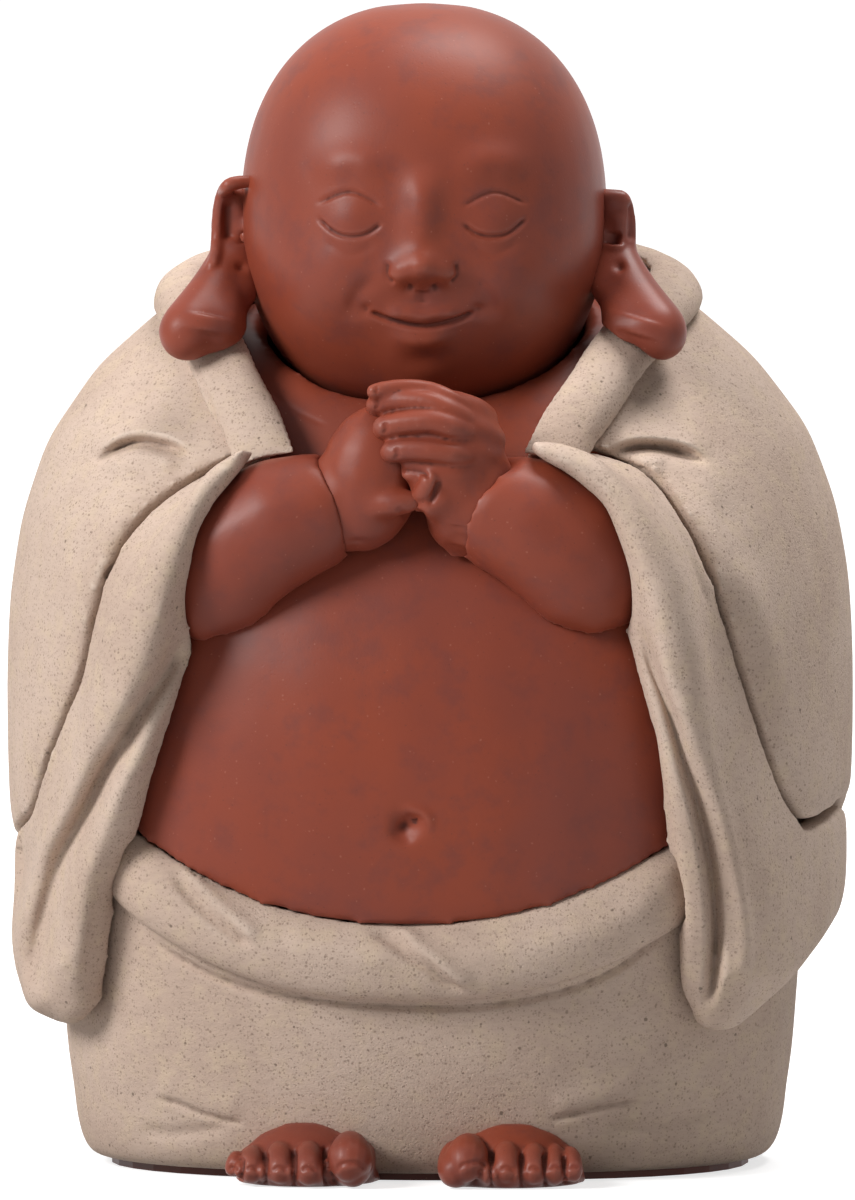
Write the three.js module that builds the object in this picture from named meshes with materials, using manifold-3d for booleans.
// A laughing monk with folded hands, hollow-built in two clays: red for skin, sand-coloured for the robe.
// Millimetres, +Z up, the front faces -Y. Left and right are the figure's own, so its left is at +X.
import * as THREE from "three";
import { mergeVertices } from "three/addons/utils/BufferGeometryUtils.js";
import Module from "manifold-3d";

const wasm = await Module();
wasm.setup();

// The body under the cloak.
const bodyHeight = 152;
const bodyHalfWidth = 66;
const bellyReach = 60;
const backReach = 56;
const bodySquareness = 2.3;

// Clay and joints.
const wall = 5;
const seam = 0.3;
const clothGap = 0.8;
const sliver = 0.06;
const ventRadius = 11;
const slabFlange = 1.6;
const slabThickness = 4.6;
const slabInset = 1.2;

// Skirt and waist roll.
const waistHeight = 44;
const waistRise = 31;
const rollDrop = 6.5;
const rollRise = 30;
const rollWidth = 12.5;
const rollThickness = 3.6;
const rollEnd = 51;
const navelHeight = 63;
const navelShift = 1.6;
const navelWidth = 5.2;

// Cloak, collar and sleeves.
const cloakHem = 32;
const cloakHemRise = 22;
const cloakHemThickness = 2.6;
const cloakThickness = 6.2;
const chestThinning = 2.4;
const upperArmRise = 4.8;
const collarWidth = 11;
const collarThickness = 3.6;
const sleeveHemThickness = 7;
const sleeveThickness = 9.5;
const sleeveSideThickness = { left: 6.2, right: 7.6 };
const cuffThickness = 18;
const mouthWidth = { left: 3.6, right: 5.5 };
const mouthDepth = 12;

// Head and ears.
const headHeight = 72;
const headHalfWidth = 31.5;
const headHalfDepth = 32;
const headSquareness = 2.25;
const headForward = 14;
const headSink = 23.5;
const headTurn = 4;
const neckHoleRadius = 10;
const earHeight = 20;
const earDrop = 1.4;
const lobeRadius = 8;

// Arms, hands and feet.
const forearmRadius = 13.3;
const wristRadius = 10.5;
const wristSpread = 15;
const wristDrop = 5.5;
const wristSink = 1.4;
const elbowBearing = { left: 35.2, right: 39.1 };
const elbowDrop = { left: 23, right: 25 };
const elbowInset = 5.5;
const palmHeight = 26;
const palmWidth = 18;
const palmDepth = 17;
const handDrop = 31;
const handSink = 9;
const handShift = 0.8;
const fingerRadius = 2.7;
const thumbRadius = 3;
const footHalfWidth = 12.8;
const footHeight = 11.5;
const footLength = 30;
const footSpacing = 35;
const footStep = 1;
const toeRadius = 2.9;

// Moves the figure so that its overall depth is centred on the origin.
const centring = 1.1;

// The hands follow the body's top and the belly, and the feet the belly.
const handHeight = bodyHeight - handDrop;
const handFront = handSink - bellyReach;
const footFront = bellyReach + footStep;

const degrees = THREE.MathUtils.degToRad;
const clamp = THREE.MathUtils.clamp;
const mix = THREE.MathUtils.lerp;
const smooth = THREE.MathUtils.smoothstep;
const vec = (x, y, z) => new THREE.Vector3(x, y, z);

const redClay = new THREE.MeshStandardMaterial({ color: 0x8c4433, roughness: 0.5, metalness: 0 });
const sandClay = new THREE.MeshStandardMaterial({ color: 0xc8b49c, roughness: 0.85, metalness: 0 });

// A smooth curve through [at, value] pairs that doesn't overshoot them.
function profile(...points) {
  const last = points.length - 1;
  const slope = points.slice(1).map((p, i) => (p[1] - points[i][1]) / (p[0] - points[i][0]));
  const tangent = points.map((p, i) => {
    if (i === 0) return slope[0];
    if (i === last) return slope[last - 1];
    return slope[i - 1] * slope[i] <= 0 ? 0 : 2 / (1 / slope[i - 1] + 1 / slope[i]);
  });
  return (at) => {
    const x = clamp(at, points[0][0], points[last][0]);
    const before = points.findIndex((p) => p[0] > x) - 1;
    const i = clamp(before, 0, last - 1) || (x >= points[last][0] ? last - 1 : 0);
    const span = points[i + 1][0] - points[i][0];
    const t = (x - points[i][0]) / span;
    const t2 = t * t;
    const t3 = t2 * t;
    return (
      points[i][1] * (2 * t3 - 3 * t2 + 1) +
      tangent[i] * span * (t3 - 2 * t2 + t) +
      points[i + 1][1] * (3 * t2 - 2 * t3) +
      tangent[i + 1] * span * (t3 - t2)
    );
  };
}

// Points and triangles become one solid whose faces point out.
function solidOf(points, faces) {
  const build = (triangles) =>
    new wasm.Manifold(
      new wasm.Mesh({
        numProp: 3,
        vertProperties: new Float32Array(points.flatMap((p) => [p.x, p.y, p.z])),
        triVerts: new Uint32Array(triangles.flat()),
      }),
    );
  const made = build(faces);
  return made.volume() > 0 ? made : build(faces.map(([a, b, c]) => [a, c, b]));
}

// Rings of points become one closed skin, and each end closes to a point.
function loft(rings, start, end) {
  const sides = rings[0].length;
  const at = (ring, side) => 2 + ring * sides + (side % sides);
  const faces = [];
  for (let side = 0; side < sides; side++) {
    faces.push([0, at(0, side + 1), at(0, side)]);
    faces.push([1, at(rings.length - 1, side), at(rings.length - 1, side + 1)]);
    for (let ring = 0; ring + 1 < rings.length; ring++) {
      faces.push([at(ring, side), at(ring, side + 1), at(ring + 1, side + 1)]);
      faces.push([at(ring, side), at(ring + 1, side + 1), at(ring + 1, side)]);
    }
  }
  return solidOf([start, end, ...rings.flat()], faces);
}

// A sheet of clay over a grid: an outer and an inner skin, joined round their rim.
// place(row, column, outer) gives a point, with row and column running from 0 to 1.
function sheet(rows, columns, place, closed = false) {
  const across = closed ? columns : columns + 1;
  const points = [];
  for (const outer of [true, false])
    for (let row = 0; row <= rows; row++)
      for (let column = 0; column < across; column++)
        points.push(place(row / rows, column / columns, outer));
  const at = (outer, row, column) => (outer ? 0 : (rows + 1) * across) + row * across + (column % across);
  const faces = [];
  const quad = (a, b, c, d) => faces.push([a, b, c], [a, c, d]);
  for (let c = 0; c < columns; c++) {
    for (let r = 0; r < rows; r++) {
      quad(at(true, r, c), at(true, r, c + 1), at(true, r + 1, c + 1), at(true, r + 1, c));
      quad(at(false, r, c), at(false, r + 1, c), at(false, r + 1, c + 1), at(false, r, c + 1));
    }
    quad(at(false, 0, c), at(false, 0, c + 1), at(true, 0, c + 1), at(true, 0, c));
    quad(at(true, rows, c), at(true, rows, c + 1), at(false, rows, c + 1), at(false, rows, c));
  }
  for (let r = 0; r < rows && !closed; r++) {
    quad(at(true, r, 0), at(true, r + 1, 0), at(false, r + 1, 0), at(false, r, 0));
    quad(at(true, r, columns), at(false, r, columns), at(false, r + 1, columns), at(true, r + 1, columns));
  }
  return solidOf(points, faces);
}

// A round-ended limb along a smooth path, its radius following the given ones.
function limb(path, radii, { grow = 0, sides = 12, steps = 8, capRings = 3 } = {}) {
  const curve = new THREE.CatmullRomCurve3(path);
  const radiusAt = profile(...radii.map((r, i) => [i / (radii.length - 1), r]));
  const frames = curve.computeFrenetFrames(steps);
  const ring = (centre, frame, radius) =>
    Array.from({ length: sides }, (_, side) => {
      const turn = (side / sides) * 2 * Math.PI;
      return centre
        .clone()
        .addScaledVector(frames.normals[frame], Math.cos(turn) * radius)
        .addScaledVector(frames.binormals[frame], Math.sin(turn) * radius);
    });
  const rings = [];
  const first = radiusAt(0) + grow;
  const final = radiusAt(1) + grow;
  const start = curve.getPoint(0);
  const end = curve.getPoint(1);
  for (let k = 1; k < capRings; k++) {
    const turn = (k / capRings) * (Math.PI / 2);
    const centre = start.clone().addScaledVector(frames.tangents[0], -Math.cos(turn) * first);
    rings.push(ring(centre, 0, Math.sin(turn) * first));
  }
  for (let step = 0; step <= steps; step++)
    rings.push(ring(curve.getPoint(step / steps), step, radiusAt(step / steps) + grow));
  for (let k = capRings - 1; k > 0; k--) {
    const turn = (k / capRings) * (Math.PI / 2);
    const centre = end.clone().addScaledVector(frames.tangents[steps], Math.cos(turn) * final);
    rings.push(ring(centre, steps, Math.sin(turn) * final));
  }
  return loft(
    rings,
    start.clone().addScaledVector(frames.tangents[0], -first),
    end.clone().addScaledVector(frames.tangents[steps], final),
  );
}

// A ball stretched to half sizes, leaned about the front-to-back axis.
function ball(centre, half, { grow = 0, lean = 0, columns = 14, rows = 8 } = {}) {
  const place = (turn, rise) =>
    vec(
      Math.cos(turn) * Math.cos(rise) * (half.x + grow),
      Math.sin(turn) * Math.cos(rise) * (half.y + grow),
      Math.sin(rise) * (half.z + grow),
    )
      .applyAxisAngle(vec(0, 1, 0), lean)
      .add(centre);
  const rings = [];
  for (let row = 1; row < rows; row++)
    rings.push(
      Array.from({ length: columns }, (_, column) =>
        place((column / columns) * 2 * Math.PI, (row / rows - 0.5) * Math.PI),
      ),
    );
  return loft(rings, place(0, -Math.PI / 2), place(0, Math.PI / 2));
}

// The body's half width and its reach to the front and back, as shares of the greatest, by height.
const widthShare = profile(
  [0, 0.85], [0.026, 0.9], [0.1, 0.94], [0.224, 0.962], [0.395, 0.992], [0.54, 1], [0.645, 0.992],
  [0.741, 0.955], [0.796, 0.91], [0.847, 0.842], [0.904, 0.71], [0.957, 0.555], [0.984, 0.44], [1, 0.3],
);
const frontShare = profile(
  [0, 0.7], [0.026, 0.77], [0.1, 0.833], [0.2, 0.885], [0.29, 0.94], [0.38, 0.985], [0.47, 1],
  [0.55, 0.983], [0.63, 0.93], [0.71, 0.84], [0.79, 0.73], [0.85, 0.63], [0.9, 0.53], [0.95, 0.4], [1, 0.15],
);
const backShare = profile(
  [0, 0.76], [0.026, 0.825], [0.1, 0.885], [0.224, 0.93], [0.395, 0.98], [0.54, 1], [0.645, 0.991],
  [0.741, 0.95], [0.847, 0.85], [0.904, 0.755], [0.957, 0.62], [0.984, 0.5], [1, 0.36],
);

// A point of the body's skin at a bearing, 0 at the front and rising towards the left side.
function bodySkin(bearing, height, inset = 0) {
  const share = clamp(height / bodyHeight, 0, 1);
  const across = Math.sin(bearing);
  const ahead = Math.cos(bearing);
  const power = 2 / bodySquareness;
  const reach = ahead > 0 ? bellyReach * frontShare(share) : backReach * backShare(share);
  return vec(
    Math.sign(across) * Math.abs(across) ** power * Math.max(0.5, bodyHalfWidth * widthShare(share) - inset),
    -Math.sign(ahead) * Math.abs(ahead) ** power * Math.max(0.5, reach - inset),
    height,
  );
}

// A point that stands off the body's skin, square to it.
function offBody(bearing, height, out) {
  const step = 0.02;
  const z = clamp(height, 0.6, bodyHeight - 1);
  const along = bodySkin(bearing + step, z).sub(bodySkin(bearing - step, z));
  const up = bodySkin(bearing, z + 0.6).sub(bodySkin(bearing, z - 0.6));
  return bodySkin(bearing, height).addScaledVector(along.cross(up).normalize(), out);
}

function bodyBlank(grow) {
  const columns = 40;
  const rows = 20;
  const rings = [];
  for (let row = 0; row <= rows; row++)
    rings.push(
      Array.from({ length: columns }, (_, c) =>
        offBody((c / columns) * 2 * Math.PI, (0.5 - 0.5 * Math.cos((row / rows) * Math.PI)) * bodyHeight, grow),
      ),
    );
  return loft(rings, vec(0, 0, -grow), vec(0, backReach * 0.2, bodyHeight + grow));
}

const waistAt = (bearing) => waistHeight + waistRise * Math.sin(bearing) ** 2;

function skirtForm() {
  const place = (row, column, outer) => {
    const bearing = column * 2 * Math.PI;
    const height = mix(slabFlange + seam, waistAt(bearing), row ** 1.5);
    return bodySkin(bearing, height, outer ? 0 : wall);
  };
  return sheet(5, 38, place, true);
}

function torsoForm() {
  const place = (row, column, outer) => {
    const bearing = column * 2 * Math.PI;
    const height = mix(waistAt(bearing) + seam, bodyHeight, row ** 0.85);
    return offBody(bearing, height, outer ? 0 : -wall);
  };
  return sheet(9, 34, place, true);
}

function slabForm() {
  const outline = (inset) => {
    const shape = new THREE.Shape(
      Array.from({ length: 40 }, (_, c) => {
        const p = bodySkin((c / 40) * 2 * Math.PI, 0, inset);
        return new THREE.Vector2(p.x, p.y);
      }),
    );
    shape.holes.push(new THREE.Path().absarc(0, 0, ventRadius, 0, 2 * Math.PI));
    return shape;
  };
  const slab = (inset, from, to) => {
    const g = new THREE.ExtrudeGeometry(outline(inset), { depth: to - from, bevelEnabled: false, curveSegments: 12 });
    return fromGeometry(g.translate(0, 0, from));
  };
  return slab(slabInset, 0, slabFlange).add(slab(wall + seam, 0, slabThickness));
}

// A three.js geometry as a solid, with its shared points merged.
function fromGeometry(geometry) {
  const bare = new THREE.BufferGeometry();
  bare.setAttribute("position", geometry.getAttribute("position"));
  bare.setIndex(geometry.getIndex());
  const merged = mergeVertices(bare, 1e-3);
  const position = merged.getAttribute("position");
  const points = Array.from({ length: position.count }, (_, i) => vec().fromBufferAttribute(position, i));
  const faces = [];
  for (let i = 0; i < merged.index.count; i += 3) faces.push([0, 1, 2].map((k) => merged.index.getX(i + k)));
  return solidOf(points, faces);
}

function toGeometry(solid) {
  const mesh = solid.getMesh();
  const points = new Float32Array(mesh.numVert * 3);
  for (let i = 0; i < mesh.numVert; i++)
    points.set(mesh.vertProperties.subarray(i * mesh.numProp, i * mesh.numProp + 3), i * 3);
  const geometry = new THREE.BufferGeometry();
  geometry.setAttribute("position", new THREE.BufferAttribute(points, 3));
  geometry.setIndex(new THREE.BufferAttribute(mesh.triVerts, 1));
  return geometry;
}

// The largest of the pieces that a cut leaves, without its slivers.
const largest = (solid) => solid.decompose().sort((a, b) => b.volume() - a.volume())[0];
const tidy = (solid) => largest(fromGeometry(toGeometry(largest(solid.simplify(sliver)))));

// A strap laid on the body: stations of bearing, height, underside stand-off and thickness.
function strap(stations, width, { grow = 0, steps = 20, lanes = 6, blunt = 0.35 } = {}) {
  const track = (value) => profile(...stations.map((s, i) => [i / (stations.length - 1), s[value]]));
  const [bearing, height, under, thick] = [0, 1, 2, 3].map(track);
  const place = (row, column, outer) => {
    const near = clamp(row, 0.01, 0.99);
    const centre = (at) => offBody(bearing(at), height(at), under(at));
    const velocity = centre(near + 0.01).sub(centre(near - 0.01)).divideScalar(0.02);
    const along = velocity.clone().normalize();
    const skin = (out) => offBody(bearing(near), height(near), out);
    const normal = skin(1).sub(skin(0)).normalize();
    const side = along.clone().cross(normal).normalize();
    const offset = column * 2 - 1;
    const crown = blunt + (1 - blunt) * Math.sqrt(Math.max(0, 1 - Math.abs(offset) ** 2.4));
    const tip = Math.sqrt(clamp(Math.min(row, 1 - row) * 8, 0.12, 1));
    const ends = row < 0.01 ? -grow : row > 0.99 ? grow : 0;
    const low = centre(near)
      .addScaledVector(velocity, row - near)
      .addScaledVector(along, ends)
      .addScaledVector(side, offset * (width / 2 + grow));
    return low.addScaledVector(normal, outer ? thick(near) * crown * tip + grow : -grow);
  };
  return sheet(steps, lanes, place);
}

// The waist roll hangs in an arc from sleeve to sleeve.
function rollForm(grow = 0) {
  const stations = [-1, -0.75, -0.5, -0.25, 0, 0.25, 0.5, 0.75, 1].map((share) => {
    const bearing = degrees(share * rollEnd);
    return [bearing, waistHeight - rollDrop + rollRise * Math.sin(bearing) ** 2, seam + 0.15, rollThickness];
  });
  return strap(stations, rollWidth, { grow, steps: 18, lanes: 5, blunt: 0.45 });
}

// Heights along an edge by bearing in degrees, kept as shares of the body's height.
function edge(...points) {
  const share = profile(...points);
  return (bearing) => bodyHeight * share(bearing);
}

// The fold where the cloak meets a sleeve, and the edge of the sleeve's mouth and hem.
const foldHeight = {
  left: edge(
    [15, 0.8191], [20, 0.8178], [25, 0.8158], [30, 0.807], [33.2, 0.7993], [36, 0.7875],
    [38.75, 0.7467], [41.5, 0.6842], [43.5, 0.6513], [45.75, 0.6184], [48.75, 0.5822], [51.5, 0.5493],
    [56.75, 0.477], [60.75, 0.4375], [65.5, 0.4013], [70.5, 0.39], [76, 0.396], [84, 0.412],
    [96, 0.402], [106, 0.36], [118, 0.2928],
  ),
  right: edge(
    [15, 0.8191], [19, 0.8158], [23.4, 0.8092], [30, 0.7862], [35.9, 0.75], [39.6, 0.7105],
    [43, 0.6579], [50.3, 0.5526], [56.5, 0.5066], [64.8, 0.4243], [70, 0.398], [84, 0.375],
    [98, 0.3355], [118, 0.2467],
  ),
};
const mouthHeight = {
  left: edge(
    [12, 0.7862], [15.5, 0.7796], [19, 0.7697], [22.5, 0.7533], [25.8, 0.727], [28.2, 0.6842],
    [29.9, 0.6382], [31.6, 0.6], [33.5, 0.5691], [35.4, 0.5164], [37, 0.4539], [38.5, 0.3947],
    [40.2, 0.3322], [41.6, 0.2763], [42.9, 0.227], [46, 0.19], [50, 0.1842], [58, 0.1875],
    [70, 0.2171], [82, 0.2533], [98, 0.273], [118, 0.2763],
  ),
  right: edge(
    [12, 0.7895], [18.5, 0.7796], [22, 0.7533], [25, 0.7105], [27.7, 0.6513], [30, 0.5954],
    [32.3, 0.5493], [35, 0.5], [37.7, 0.4539], [40.8, 0.3947], [43.3, 0.3651], [46.1, 0.335],
    [48.7, 0.2993], [50.3, 0.2599], [52.2, 0.2204], [56, 0.185], [66, 0.1776], [90, 0.2007],
    [118, 0.2237],
  ),
};
const collarHeight = edge(
  [15, 0.75], [20, 0.7961], [25, 0.8388], [33, 0.875], [42, 0.9046], [60, 0.9342],
  [90, 0.9526], [120, 0.9658], [150, 0.9803], [180, 0.9868],
);
const sideSign = { left: 1, right: -1 };
const sleeveSide = 118;

// How far the cloak stands off the body.
function cloakOut(bearing, height) {
  const ahead = Math.cos(bearing);
  const share = height / bodyHeight;
  const hem = smooth(height, cloakHem, cloakHem + cloakHemRise);
  const chest = smooth(share, 0.71, 0.855) * smooth(ahead, 0.15, 0.75);
  const upperArm = Math.exp(-(((share - 0.69) / 0.1) ** 2) - ((ahead - 0.71) / 0.16) ** 2);
  const full = cloakThickness * (1 - 0.16 * ahead ** 2) - chestThinning * chest + upperArmRise * upperArm;
  return clothGap + mix(cloakHemThickness, full, hem);
}

// A panel of cloth on the body: at each bearing it runs from a low edge to a high edge.
function panel(bearings, rows, low, high, out, sign = 1) {
  const place = (row, column, outer) => {
    const turn = bearings[Math.round(column * (bearings.length - 1))];
    const height = mix(low(turn), high(turn), 1 - (1 - row) ** 1.25);
    return offBody(degrees(sign * turn), height, outer ? out(turn, height) : clothGap);
  };
  return sheet(rows, bearings.length - 1, place);
}

const spread = (from, to, count) => Array.from({ length: count + 1 }, (_, i) => mix(from, to, i / count));

// Cloak and sleeve share these bearings, so their edges run side by side along the fold.
const foldBearings = [
  15.5, 20.5, 25, 29, 32, 35, 37.7, 40.3, 43, 46, 49.5, 54, 60, 68, 78, 88, 98, 108, sleeveSide,
];

function cloakForm() {
  const front = foldBearings.slice(2);
  const bearings = [
    ...front,
    ...spread(sleeveSide + 8, 360 - sleeveSide - 8, 12),
    ...front.map((turn) => 360 - turn).reverse(),
  ];
  const onSide = (turn) => (turn < 180 ? [turn, "left"] : [360 - turn, "right"]);
  const low = (turn) => {
    const [own, side] = onSide(turn);
    const fold = foldHeight[side];
    if (own > sleeveSide) return mix(fold(sleeveSide), cloakHem, smooth(own, sleeveSide, 165));
    const slope = (fold(own + 0.5) - fold(own - 0.5)) / (degrees(1) * bodyHalfWidth);
    return fold(own) + (seam + 0.1) * Math.hypot(1, slope);
  };
  const high = (turn) =>
    clamp(collarHeight(onSide(turn)[0]) + collarWidth * 0.36, low(turn) + 2 * clothGap, bodyHeight - clothGap);
  const out = (turn, height) => cloakOut(degrees(turn), height);
  return panel(bearings, 8, low, high, out);
}

// A thickness that changes with height, its places kept as shares of the body's height.
function byHeight(...points) {
  const value = profile(...points);
  return (height) => value(height / bodyHeight);
}

// How far a sleeve stands off the body along its mouth.
const sleeveBulk = byHeight(
  [0.178, sleeveHemThickness], [0.263, sleeveThickness], [0.408, sleeveThickness],
  [0.526, cuffThickness * 0.67], [0.618, cuffThickness * 0.86], [0.724, cuffThickness],
  [0.789, cuffThickness * 0.86], [0.855, cuffThickness * 0.39],
);

// The share of that bulk at the very rim: a thin hem below, a thick roll round the forearm.
const rimShare = byHeight(
  [0.178, 0.42], [0.395, 0.5], [0.553, 0.72], [0.605, 0.95], [0.763, 0.95], [0.842, 0.6],
);

function sleeveForm(side) {
  const low = mouthHeight[side];
  const high = (turn) => Math.max(low(turn) + clothGap, foldHeight[side](turn));
  const rounding = (distance, reach) => Math.sqrt(1 - (1 - clamp(distance / reach, 0, 1)) ** 2);
  const out = (turn, height) => {
    const share = (high(turn) - height) / (high(turn) - low(turn));
    const bulk = mix(sleeveBulk(height), sleeveSideThickness[side], smooth(turn, 45, 72));
    const tail = mix(bulk, cloakHemThickness, smooth(turn, 100, sleeveSide));
    const full = mix(cloakOut(degrees(turn), height) - clothGap * 1.8, tail, smooth(share, 0, 0.65));
    const rim = rimShare(height);
    return clothGap + full * (rim + (1 - rim) * rounding(height - low(turn), sleeveHemThickness));
  };
  return panel(foldBearings.slice(side === "left" ? 0 : 1), 7, low, high, out, sideSign[side]);
}

// The slit that shows a sleeve's hollow, down along its mouth.
function mouthGroove(side) {
  const path = {
    left: [[38.2, 0.5], [41, 0.44], [44.4, 0.349], [45.8, 0.263]],
    right: [[39.4, 0.5], [44.4, 0.44], [50.7, 0.382], [56.8, 0.322], [60.5, 0.263]],
  }[side];
  const stations = path.map(([bearing, share]) => {
    const height = share * bodyHeight;
    return [degrees(sideSign[side] * bearing), height, sleeveBulk(height) * 0.6, mouthDepth];
  });
  return strap(stations, mouthWidth[side], { steps: 8, lanes: 2, blunt: 0.8 });
}

// From elbow to wrist, each point given as its shares of the way back from the wrist.
function forearmPath(side) {
  const wrist = vec(wristSpread, handFront + wristSink, handHeight - wristDrop);
  const elbow = bodySkin(degrees(elbowBearing[side]), handHeight - elbowDrop[side], elbowInset);
  return [[1, 1, 1], [0.73, 0.64, 0.68], [0.4, 0.12, 0.22], [0, 0, 0]].map(([x, y, z]) =>
    vec(sideSign[side] * mix(wrist.x, elbow.x, x), mix(wrist.y, elbow.y, y), mix(wrist.z, elbow.z, z)),
  );
}

function forearmForm(side, grow = 0) {
  const radii = [forearmRadius * 0.55, forearmRadius, forearmRadius * 0.94, wristRadius];
  return limb(forearmPath(side), radii, { grow, sides: 14, steps: 5 });
}

// A point of the hands, as shares of a palm: across to the left, ahead and up from the middle of both.
const inHand = (across, ahead, up) =>
  vec(across * palmWidth, handFront - ahead * palmDepth, handHeight + up * palmHeight);

function handForm(side, grow = 0) {
  const sign = sideSign[side];
  const half = vec(palmWidth / 2, palmDepth / 2, palmHeight / 2);
  const middle = inHand(sign * 0.4, 0, 0).add(vec(handShift, 0, 0));
  const palm = ball(middle, half, { grow, lean: -sign * 0.2 });
  const digits = side === "left" ? [...leftFingers(grow), thumbForm(side, grow)] : [thumbForm(side, grow)];
  return digits.reduce((hand, digit) => hand.add(digit), palm);
}

// Four fingers wrap the right hand from knuckle to tip.
function leftFingers(grow) {
  const fingers = [
    { knuckle: [0.75, 0.4], crest: [0.22, 0.515], tip: [-0.31, 0.446], ahead: 0.265 },
    { knuckle: [0.83, 0.27], crest: [0.22, 0.385], tip: [-0.37, 0.3], ahead: 0.37 },
    { knuckle: [0.855, 0.115], crest: [0.22, 0.238], tip: [-0.37, 0.146], ahead: 0.41 },
    { knuckle: [0.83, -0.046], crest: [0.24, 0.062], tip: [-0.27, -0.015], ahead: 0.41 },
  ];
  return fingers.map(({ knuckle, crest, tip, ahead }) =>
    limb(
      [
        inHand(knuckle[0], ahead - 0.3, knuckle[1]),
        inHand(0.56, ahead - 0.035, (knuckle[1] + crest[1]) / 2 + 0.04),
        inHand(crest[0], ahead, crest[1]),
        inHand(tip[0], ahead - 0.14, tip[1]),
      ],
      [fingerRadius, fingerRadius, fingerRadius, fingerRadius * 0.82],
      { grow, sides: 7, steps: 5, capRings: 2 },
    ),
  );
}

// The left thumb curls down over the right one, which lies across below the fingers.
function thumbForm(side, grow) {
  const path = {
    left: [inHand(0.5, 0.235, -0.077), inHand(0.256, 0.447, -0.135), inHand(0.067, 0.447, -0.27)],
    right: [inHand(-0.389, 0.235, -0.173), inHand(-0.139, 0.41, -0.146), inHand(0.078, 0.4, -0.13)],
  }[side];
  const radii = [thumbRadius, thumbRadius * 0.85, thumbRadius * 0.73];
  return limb(path, radii, { grow, sides: 8, steps: 5, capRings: 2 });
}

// The head is squarer than a ball, and stands forward of the neck.
const headCentre = vec(0, -headForward, bodyHeight - headSink + headHeight / 2);
const headPlace = (point) =>
  point.applyAxisAngle(vec(0, 0, 1), degrees(headTurn)).add(headCentre);

// Face forms as soft swellings: [across, up, half width, half height, rise], up from the head's middle.
// They lie on a grid of 72 steps from chin to crown.
const faceStep = headHeight / 72;
const eyeSpacing = 12.4;
const faceForms = [
  [0, 1.5, 2.8, 7, 1.5],
  [0, -7, 3.6, 3.4, 3.4],
  [-3.6, -8.6, 2.4, 2.2, 1.4],
  [3.6, -8.6, 2.4, 2.2, 1.4],
  [-eyeSpacing, 0.2, 6, 3, 1.1],
  [eyeSpacing, 0.2, 6, 3, 1.1],
  [-eyeSpacing, 7.4, 8, 2, 0.9],
  [eyeSpacing, 7.4, 8, 2, 0.9],
  [0, -16.2, 6, 1.8, 1.3],
  [0, -20, 5.2, 1.9, 1.3],
  [0, -27, 7, 4.6, 1.8],
  [-17.5, -11, 9, 8, 1.4],
  [17.5, -11, 9, 8, 1.4],
];

function faceRise(x, z) {
  return faceForms.reduce((sum, [across, up, width, height, rise]) => {
    const aside = (x / faceStep - across) / width;
    const above = (z / faceStep - up) / height;
    return sum + rise * faceStep * Math.exp(-(aside ** 2) - above ** 2);
  }, 0);
}

function headPoint(turn, rise, out) {
  const rounded = (value) => Math.sign(value) * Math.abs(value) ** (2 / headSquareness);
  const level = rounded(Math.cos(rise));
  const x = rounded(Math.sin(turn)) * level * (headHalfWidth + out);
  const y = -rounded(Math.cos(turn)) * level * (headHalfDepth + out);
  const z = rounded(Math.sin(rise)) * (headHeight / 2 + out);
  const front = Math.cos(turn) > 0 && out >= 0 ? smooth(Math.cos(turn), 0, 0.5) : 0;
  return headPlace(vec(x, y - front * faceRise(x, z), z));
}

// Columns and rows crowd towards the face, where the forms are finer.
function headForm(out, columns, rows) {
  const rings = [];
  const bearing = (share) => 2 * Math.PI * (share - 0.09 * Math.sin(2 * Math.PI * share));
  const rise = (share) => Math.PI * (share - 0.5 + 0.045 * Math.sin(2 * Math.PI * (share - 0.1)));
  for (let row = 1; row < rows; row++)
    rings.push(
      Array.from({ length: columns }, (_, c) => headPoint(bearing(c / columns), rise(row / rows), out)),
    );
  return loft(rings, headPoint(0, -Math.PI / 2, out), headPoint(0, Math.PI / 2, out));
}

function neckHole() {
  const bottom = headCentre.z - headHeight / 2;
  const radii = [neckHoleRadius, neckHoleRadius];
  const path = [vec(0, -headForward, bottom - wall * 1.6), vec(0, -headForward, bottom + wall * 2.4)];
  return limb(path, radii, { sides: 16, steps: 1 });
}

// The ear is a cupped plate, and its long lobe swells outwards to rest on the shoulder.
// Its points are in twentieths of its height, from the head's side.
const earStep = earHeight / 20;

function earForm(side, grow = 0) {
  const place = (x, y, z) =>
    headPlace(vec(sideSign[side] * (headHalfWidth + x * earStep), y * earStep, z * earStep - earDrop));
  const sizes = (...values) => values.map((value) => value * earStep);
  const rim = limb(
    [place(-1, -4, 3.4), place(1.8, -5.2, 5.2), place(3.4, -5, 1), place(3.3, -4.6, -5), place(2.2, -5.6, -8)],
    sizes(2, 2.1, 2, 1.9, 2),
    { grow, sides: 6, steps: 7, capRings: 2 },
  );
  const plate = ball(place(-0.6, -2.4, -1.6), vec(...sizes(5, 4.6, 7.8)), { grow, columns: 8, rows: 6 });
  const lobe = limb(
    [place(2.4, -5.6, -6), place(4.6, -10.6, -12.2), place(8.7, -16.4, -18.2)],
    [lobeRadius * 0.4, lobeRadius * 0.6, lobeRadius * 0.7],
    { grow, sides: 9, steps: 4 },
  );
  const inner = limb(
    [place(1.4, -6.4, -8.5), place(3.6, -14.8, -17.6)],
    [lobeRadius * 0.4, lobeRadius * 0.68],
    { grow, sides: 8, steps: 2 },
  );
  return rim.add(plate).add(lobe).add(inner);
}

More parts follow.
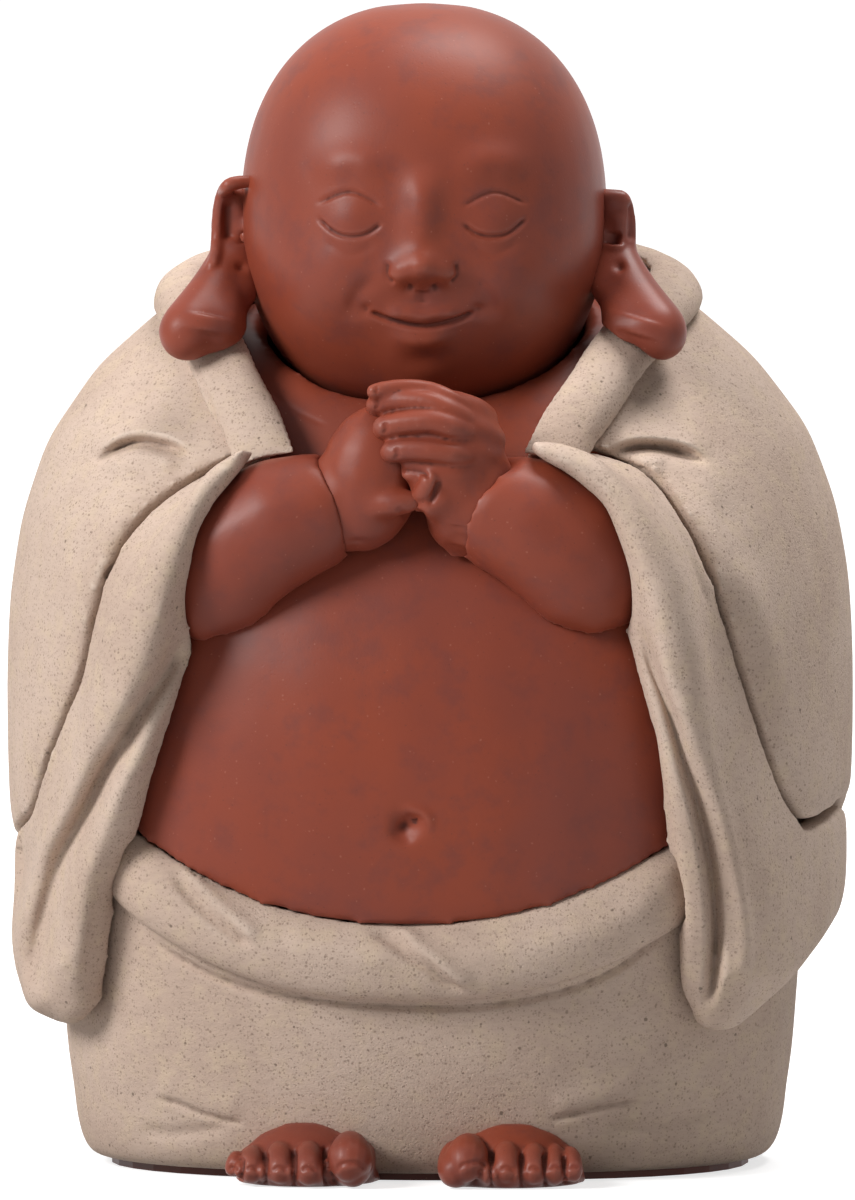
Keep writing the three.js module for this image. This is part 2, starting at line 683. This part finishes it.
// A foot is a low dome that comes out from under the hem, with five toes along its front.
function footForm(side, grow = 0) {
  const sign = sideSign[side];
  const centre = vec((sign * footSpacing) / 2, footLength * 0.6 - footFront, 0);
  const dome = ball(centre, vec(footHalfWidth, footLength / 2, footHeight), { grow, columns: 16, rows: 8 });
  const toeWidths = [1.45, 1, 0.92, 0.86, 0.8];
  const span = toeWidths.reduce((sum, share) => sum + share, 0);
  const toesHalf = footHalfWidth * 0.953;
  let from = -toesHalf;
  const toes = toeWidths.map((share, toe) => {
    const width = (share / span) * 2 * toesHalf;
    const x = centre.x + sign * (from + width / 2);
    from += width;
    const radius = width * 0.53;
    const front = footFront - radius - footLength * 0.012 * toe ** 1.5;
    const height = toeRadius * (toe ? 1 : 1.15);
    const path = [[0.43, 1.4], [0.17, 1.34], [0, 0.9]].map(([back, up]) =>
      vec(x, footLength * back - front, height * up),
    );
    return limb(path, [radius, radius, radius * 0.95], { grow, sides: 7, steps: 2, capRings: 2 });
  });
  const foot = toes.reduce((all, toe) => all.add(toe), dome);
  return foot.intersect(floorBlock(grow));
}

// Everything above the floor the figure stands on.
function floorBlock(grow) {
  const side = bodyHeight * 3;
  return fromGeometry(new THREE.BoxGeometry(side, side, side).translate(0, 0, side / 2 - grow));
}

// The collar band runs from each side of the chest, over the shoulder, to the middle of the back.
function collarForm(side, grow = 0) {
  const stations = [19, 24, 31, 40, 52, 68, 90, 120, 150, 177.6].map((bearing) => {
    const turned = degrees(sideSign[side] * bearing);
    const height = collarHeight(bearing);
    return [turned, height, cloakOut(turned, height) + clothGap, collarThickness];
  });
  return strap(stations, collarWidth, { grow, steps: 20, lanes: 5 });
}

const sides = ["left", "right"];
const pair = (make) => Object.fromEntries(sides.map((side) => [side, make(side)]));
const cut = (solid, ...tools) => tidy(tools.reduce((left, tool) => left.subtract(tool), solid));

const bodyGrown = bodyBlank(seam + 0.2);
const cloakGrown = bodyBlank(clothGap + cloakThickness + seam);
const headGrown = headForm(seam + 0.35, 24, 16);
const forearmsGrown = pair((side) => forearmForm(side, seam));
const rollGrown = rollForm(seam);
const handsGrown = pair((side) => handForm(side, seam));
const collarsGrown = pair((side) => collarForm(side, seam));

const head = cut(headForm(0, 36, 25), headForm(-wall, 14, 9), neckHole());
const rightHand = cut(handForm("right"), bodyGrown, headGrown);
const leftHand = cut(handForm("left"), handsGrown.right, bodyGrown, headGrown);
const forearms = pair((side) => cut(forearmForm(side), bodyGrown, handsGrown.left, handsGrown.right));
const collars = pair((side) => cut(collarForm(side), headGrown, forearmsGrown[side], handsGrown[side]));
const ears = pair((side) => cut(earForm(side), headGrown, cloakGrown, collarsGrown[side]));
const cloak = cut(cloakForm(), headGrown, forearmsGrown.left, forearmsGrown.right);
const roll = rollForm();

function sleevePiece(side) {
  return cut(sleeveForm(side), forearmsGrown[side], mouthGroove(side), rollGrown, collarsGrown[side]);
}
const sleeves = pair(sleevePiece);
const navelPlace = bodySkin(0, navelHeight).add(vec(navelShift, -navelWidth * 0.12, 0));
const navelHalf = vec(navelWidth * 0.5, navelWidth * 0.42, navelWidth * 0.33);
const navel = ball(navelPlace, navelHalf, { columns: 12, rows: 8 });
const torso = cut(torsoForm(), headGrown, navel);

const figure = new THREE.Group();

// A solid becomes a named mesh of the figure.
function addPiece(name, solid, material) {
  const geometry = toGeometry(solid);
  geometry.translate(0, centring, 0);
  geometry.computeVertexNormals();
  const piece = new THREE.Mesh(geometry, material);
  piece.name = name;
  figure.add(piece);
}

addPiece("base_slab", slabForm(), redClay);
addPiece("skirt_shell", skirtForm(), sandClay);
addPiece("waist_roll", roll, sandClay);
addPiece("torso_shell", torso, redClay);
addPiece("cloak_shell", cloak, sandClay);
addPiece("head_shell", head, redClay);
addPiece("hand_left", leftHand, redClay);
addPiece("hand_right", rightHand, redClay);
for (const side of sides) {
  addPiece("collar_" + side, collars[side], sandClay);
  addPiece("sleeve_" + side, sleeves[side], sandClay);
  addPiece("forearm_" + side, forearms[side], redClay);
  addPiece("ear_" + side, ears[side], redClay);
  addPiece("foot_" + side, cut(footForm(side), bodyGrown), redClay);
}

export default figure;
